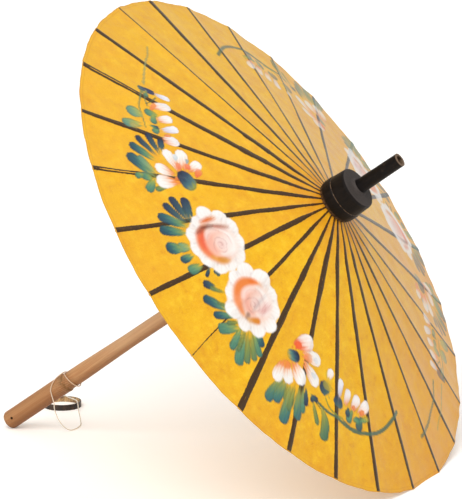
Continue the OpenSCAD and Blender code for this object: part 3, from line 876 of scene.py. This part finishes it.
def make_paper_back():
    """The underside, with the stripes and the flowers showing faintly through as painted shadows."""
    s = Shader("oiled_paper_back")
    plan = s.attribute("plan")
    across, rho, _ = s.split(s.attribute("rib"))
    half, drift, _ = s.split(s.attribute("stripe"))
    tint, _, _ = s.split(s.attribute("tint"))
    base, mottle, fibre = paper_base(s, plan, tint)
    base = s.tint(base, "f2c468", 0.35)
    # painted shadow of the stripe, which would block the light coming through the paper
    inside = s.minus(half, s.size(s.minus(across, drift)))
    base = s.tint(base, "9a6a30", s.ramp(inside, -1.2, 0.8), 0.55)
    # painted shadows of the flowers, seen faintly through the paper
    flowers = s.tint(s.attribute("paint", "Color"), "d08a2c", 0.45)
    base = s.mix(s.times(s.attribute("paint", "Alpha"), 0.38), base, flowers)
    base = s.tint(base, "d9952f", s.ramp(rho, 296, 297), 0.4)
    height = s.plus(s.noise(plan, 0.06, 4, 0.7, 2.5), s.times(fibre, 0.25))
    return s.finish(Base_Color=base, Roughness=s.ramp(mottle, 0.3, 0.7, 0.6, 0.72),
                    Normal=s.bump(height, 0.0006, 0.5), Specular_IOR_Level=0.4)


def make_paper_edge():
    s = Shader("oiled_paper_edge")
    base = s.blend(s.noise(s.attribute("plan"), 0.4, 2), "c08a38", "d9a24a")
    return s.finish(Base_Color=base, Roughness=0.7)


def bamboo_streaks(s, place, scale=1.0):
    """Fine and broad lengthways fibres, for a pole along z."""
    fine = s.noise(s.scaled(place, (900 * scale, 900 * scale, 14 * scale)), 1.0, 4, 0.65)
    broad = s.noise(s.scaled(place, (160 * scale, 160 * scale, 7 * scale)), 1.0, 4, 0.6)
    return fine, broad


def lacquer(s, place):
    """Brushed black lacquer: colour, roughness and relief."""
    brushed = s.noise(s.scaled(place, (260, 260, 70)), 1.0, 5, 0.65)
    worn = s.noise(s.scaled(place, (90, 90, 90)), 1.0, 4, 0.6)
    base = s.blend(s.ramp(brushed, 0.35, 0.7), "090606", "16100d")
    base = s.tint(base, "1d1a19", s.ramp(worn, 0.5, 0.75), 0.35)
    base = s.tint(base, "48382b", s.ramp(worn, 0.66, 0.72), 0.25)
    return base, s.ramp(brushed, 0.3, 0.7, 0.34, 0.55), brushed


def make_shaft_material():
    """Bamboo, and black lacquer above the cap's foot. Heights along the shaft are in metres."""
    s = Shader("bamboo_pole")
    place = s.shaft_place()
    x, y, z = place
    fine, broad = bamboo_streaks(s, place)
    base = s.blend(s.ramp(broad, 0.3, 0.7), "ac7e55", "c2986c")
    base = s.tint(base, "8a5632", s.ramp(fine, 0.35, 0.7), 0.45)
    base = s.tint(base, "d2a274", s.ramp(fine, 0.62, 0.85), 0.4)
    ruddy = s.noise(s.scaled(place, (130, 130, 45)), 1.0, 4, 0.6)
    base = s.tint(base, "ae6840", s.ramp(ruddy, 0.52, 0.7), 0.28)
    # the grip is darker, the pole above it is paler, partly its own tone and partly a painted highlight
    base = s.tint(base, "8a5c38", s.ramp(z, 0.088, 0.07), 0.52)
    base = s.tint(base, "d3b794", s.ramp(z, 0.11, 0.20, 0.0, 0.30))
    # the side that rests on the floor is browner: painted shade on the side turned from the light
    base = s.tint(base, "74482a", s.ramp(y, 0.002, -0.0095), 0.65)
    # scars at the node, and the dark scraped patch where the string is tied
    patchy = s.noise(s.scaled(place, (200, 200, 300)), 1.0, 4, 0.6)
    node_ring = s.band(z, 0.088, 0.0915, 0.0935, 0.0965)
    base = s.tint(base, "6f5c36", node_ring, s.ramp(patchy, 0.3, 0.6, 0.0, 0.6))
    tied = s.band(z, 0.070, 0.090, 0.098, 0.112)
    hatch = s.add("TexWave", {"Vector": s.combine(x, y, z), "Scale": 230.0, "Distortion": 3.0, "Detail": 2.0,
                              "Detail Scale": 2.0}, out=1, wave_type="BANDS", bands_direction="DIAGONAL")
    scraped = s.times(tied, s.ramp(s.plus(s.times(hatch, 0.45), patchy), 0.45, 0.95))
    base = s.tint(base, "6a4328", scraped, 0.55)
    base = s.tint(base, "7c5434", tied, 0.15)
    # soil round the butt, and painted shade inside the cord hole
    radius = s.hypot(x, y)
    base = s.tint(base, "8a6440", s.ramp(z, 0.006, 0.0), 0.5)
    up = s.minus(z, CORD_HOLE_Z * MM)
    from_hole = s.math("SQRT", s.plus(s.times(y, y), s.math("POWER", up, 2.0)))
    hole = s.times(s.ramp(from_hole, 0.0019, 0.0015), s.ramp(radius, 0.0105, 0.0101))
    base = s.tint(base, "3a2414", hole, 0.8)
    # the black end, which is bare on its hollow top: a brown rim and a dark inside
    black, black_rough, brushed = lacquer(s, place)
    painted = s.ramp(z, 0.4885, 0.4890)
    done = s.mix(painted, base, black)
    done = s.tint(done, "75614f", s.ramp(z, 0.5772, 0.5777), s.ramp(patchy, 0.25, 0.5, 0.7, 1.0))
    # painted shade: the bare bamboo inside the hollow end is made dark, as the shade in it
    inner = s.times(s.ramp(radius, 0.0051, 0.0048), s.ramp(z, 0.55, 0.553))
    done = s.mix(inner, done, s.blend(s.ramp(patchy, 0.4, 0.6), "3a2c22", "6a5846"))
    rough = s.plus(s.times(s.minus(1.0, painted), s.ramp(fine, 0.3, 0.7, 0.38, 0.56)),
                   s.times(painted, black_rough))
    height = s.plus(s.times(fine, 0.7), s.times(scraped, -0.9))
    height = s.plus(height, s.times(brushed, s.times(painted, 0.5)))
    return s.finish(Base_Color=done, Roughness=rough, Normal=s.bump(height, 0.0003), Specular_IOR_Level=0.15)


def make_cap_material():
    s = Shader("black_lacquer")
    place = s.shaft_place()
    x, y, z = place
    base, rough, brushed = lacquer(s, place)
    # the flat top is greyer and duller
    top = s.times(s.ramp(z, 0.5196, 0.5206), s.ramp(s.hypot(x, y), 0.0232, 0.0222))
    base = s.mix(s.times(top, 0.8), base, s.blend(brushed, "3c3735", "5a524e"))
    # painted highlight: a lighter line in the groove between the tiers; and the bare serrated foot
    patchy = s.noise(s.scaled(place, (300, 300, 300)), 1.0, 3)
    groove = s.band(z, 0.5026, 0.5030, 0.5034, 0.5038)
    base = s.tint(base, "7a6048", groove, s.ramp(patchy, 0.35, 0.6, 0.1, 0.7))
    base = s.tint(base, "5c4430", s.ramp(z, 0.4925, 0.4895), s.ramp(patchy, 0.3, 0.6, 0.5, 1.0))
    height = s.plus(brushed, s.times(patchy, 0.3))
    return s.finish(Base_Color=base, Roughness=s.plus(rough, s.times(top, 0.12)),
                    Normal=s.bump(height, 0.0003), Specular_IOR_Level=0.15)


def make_split_bamboo():
    """For ribs and stretchers: fibres run out from the shaft."""
    s = Shader("split_bamboo")
    x, y, z = s.shaft_place()
    flat = s.combine(x, y, 0.0)
    reach = s.vector("LENGTH", flat, out="Value")
    along = s.vector("SCALE", s.vector("NORMALIZE", flat))
    s.join(along.node.inputs["Scale"], s.times(reach, 0.975))
    across = s.vector("SUBTRACT", s.combine(x, y, z), along)
    fine = s.noise(across, 1500.0, 4, 0.6)
    base = s.blend(s.ramp(s.noise(across, 220.0, 3, 0.6), 0.3, 0.7), "c8a06a", "dfc08e")
    base = s.tint(base, "a57c48", s.ramp(fine, 0.5, 0.75), 0.5)
    bands = s.noise(s.combine(reach, 0.0, 0.0), 18.0, 2)
    base = s.tint(base, "b58a52", s.ramp(bands, 0.55, 0.7), 0.3)
    return s.finish(Base_Color=base, Roughness=s.ramp(fine, 0.3, 0.7, 0.45, 0.62),
                    Normal=s.bump(fine, 0.00025), Specular_IOR_Level=0.45)


def make_turned_bamboo():
    """For the head, runner and catch: fibres run along the shaft."""
    s = Shader("turned_bamboo")
    fine, broad = bamboo_streaks(s, s.shaft_place(), 1.4)
    base = s.blend(s.ramp(broad, 0.3, 0.7), "b48a5a", "d2ab78")
    base = s.tint(base, "8c6236", s.ramp(fine, 0.45, 0.75), 0.5)
    return s.finish(Base_Color=base, Roughness=s.ramp(fine, 0.3, 0.7, 0.42, 0.6),
                    Normal=s.bump(fine, 0.0003), Specular_IOR_Level=0.45)


def make_hoop_material():
    """A sawn ring of bamboo: dark brown skin outside, deepened with painted shade, and stained pith inside.
    """
    s = Shader("bamboo_ring")
    low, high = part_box("closing_ring")
    centre = (Vector(low) + Vector(high)) / 2
    place = s.split(s.vector("SUBTRACT", s.add("TexCoord", out="Object"), (centre.x, centre.y, 0)))
    inside = s.ramp(s.hypot(place[0], place[1]), 0.0212, 0.0206)
    fine = s.noise(s.scaled(place, (1100, 1100, 60)), 1.0, 4, 0.6)
    broad = s.noise(s.scaled(place, (120, 120, 40)), 1.0, 3)
    # the skin is dark brown, and made darker still as painted shade on the outer wall
    skin = s.blend(s.ramp(broad, 0.35, 0.65), "20150d", "3e2a1b")
    skin = s.tint(skin, "6a4c30", s.ramp(fine, 0.5, 0.8), 0.25)
    pith = s.blend(s.ramp(fine, 0.35, 0.7), "c9a878", "96744c")
    stain = s.noise(s.scaled(place, (210, 210, 160)), 1.0, 4, 0.6)
    pith = s.tint(pith, "58402a", s.ramp(stain, 0.42, 0.58), 0.8)
    return s.finish(Base_Color=s.mix(inside, skin, pith), Roughness=s.ramp(fine, 0.3, 0.7, 0.4, 0.6),
                    Normal=s.bump(fine, 0.00025), Specular_IOR_Level=0.45)


def make_twine():
    s = Shader("twisted_twine")
    along, turn, run = s.split(s.attribute("along"))
    strand = s.math("FRACT", s.minus(s.times(turn, 3.0), s.times(along, 3.0)))
    between = s.ramp(s.size(s.minus(strand, 0.5)), 0.34, 0.5)
    fluff = s.noise(s.combine(s.times(along, 6), s.times(strand, 5), 0.0), 1.0, 4, 0.7)
    base = s.blend(s.ramp(fluff, 0.3, 0.7), "cfc7b8", "e8e1d4")
    # painted shade in the grooves between the strands
    base = s.tint(base, "92866f", between, 0.6)
    # the part tied round the handle has taken up its brown
    base = s.tint(base, "b98a5e", s.ramp(run, 0.135, 0.075, 0.0, 0.6))
    return s.finish(Base_Color=base, Roughness=0.85, Normal=s.bump(fluff, 0.0002), Sheen_Weight=0.2)


def make_floor_material():
    """Pale, and giving off a little white, so that the shadow stays faint."""
    s = Shader("pale_floor")
    base = s.blend(s.noise(s.add("TexCoord", out="Object"), 1.5, 3), "f6f5f3", "f9f8f6")
    return s.finish(Base_Color=base, Roughness=0.8, Specular_IOR_Level=0.2,
                    Emission_Color=(1, 1, 1, 1), Emission_Strength=0.16)


def dress(name, material):
    """Gives a CAD node its material."""
    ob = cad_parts[name]
    if not ob.material_slots:
        ob.data.materials.append(material)
    for slot in ob.material_slots:
        slot.material = material


# ---- floor and light ----
FLOOR_REACH = 12            # metres each way
AMBIENT = 0.33
SWEEP = 0.5


def make_floor():
    size = FLOOR_REACH
    floor = new_object("floor", [(-size, -size, 0), (size, -size, 0), (size, size, 0), (-size, size, 0)],
                       [(0, 1, 2, 3)], smooth_faces=False)
    floor.data.materials.append(make_floor_material())


def soft_sun(name, towards, spread, strength, tone=(1, 1, 1)):
    """A wide, far soft box: light from one direction, spread over an angle in degrees."""
    data = bpy.data.lights.new(name, "SUN")
    data.angle = math.radians(spread)
    data.energy = strength
    data.color = tone
    light = bpy.data.objects.new(name, data)
    bpy.context.scene.collection.objects.link(light)
    light.rotation_euler = Vector(towards).to_track_quat("-Z", "Y").to_euler()


def make_light():
    """Even soft light, with a brighter sweep low down on the +Y side, and two wide suns."""
    s = Shader("studio", bpy.data.worlds)
    _, y, z = s.split(s.add("TexCoord", out="Generated"))
    low = s.times(s.ramp(s.size(z), 0.50, 0.22), SWEEP)
    glow = s.times(s.ramp(y, -0.20, 0.10), low)
    background = s.add("Background", {"Color": (1, 1, 1, 1), "Strength": s.plus(glow, AMBIENT)})
    s.add("OutputWorld", {"Surface": background})
    bpy.context.scene.world = s.owner
    soft_sun("key", (0.70, 0.12, -0.70), 50, 2.45, (1.0, 0.985, 0.96))
    soft_sun("top", (-0.2, -0.1, -1), 80, 0.66)


make_camera()
make_string(make_twine())
make_canopy([make_paper_face(), make_paper_back(), make_paper_edge()])
dress("shaft", make_shaft_material())
dress("cap", make_cap_material())
dress("closing_ring", make_hoop_material())
split_bamboo = make_split_bamboo()
turned_bamboo = make_turned_bamboo()
for name in ("head", "runner", "catch"):
    dress(name, turned_bamboo)
for i in range(1, RIBS + 1):
    dress(f"rib_{i:02d}", split_bamboo)
    dress(f"stretcher_{i:02d}", split_bamboo)
make_floor()
make_light()
bpy.context.scene.view_settings.view_transform = "Standard"
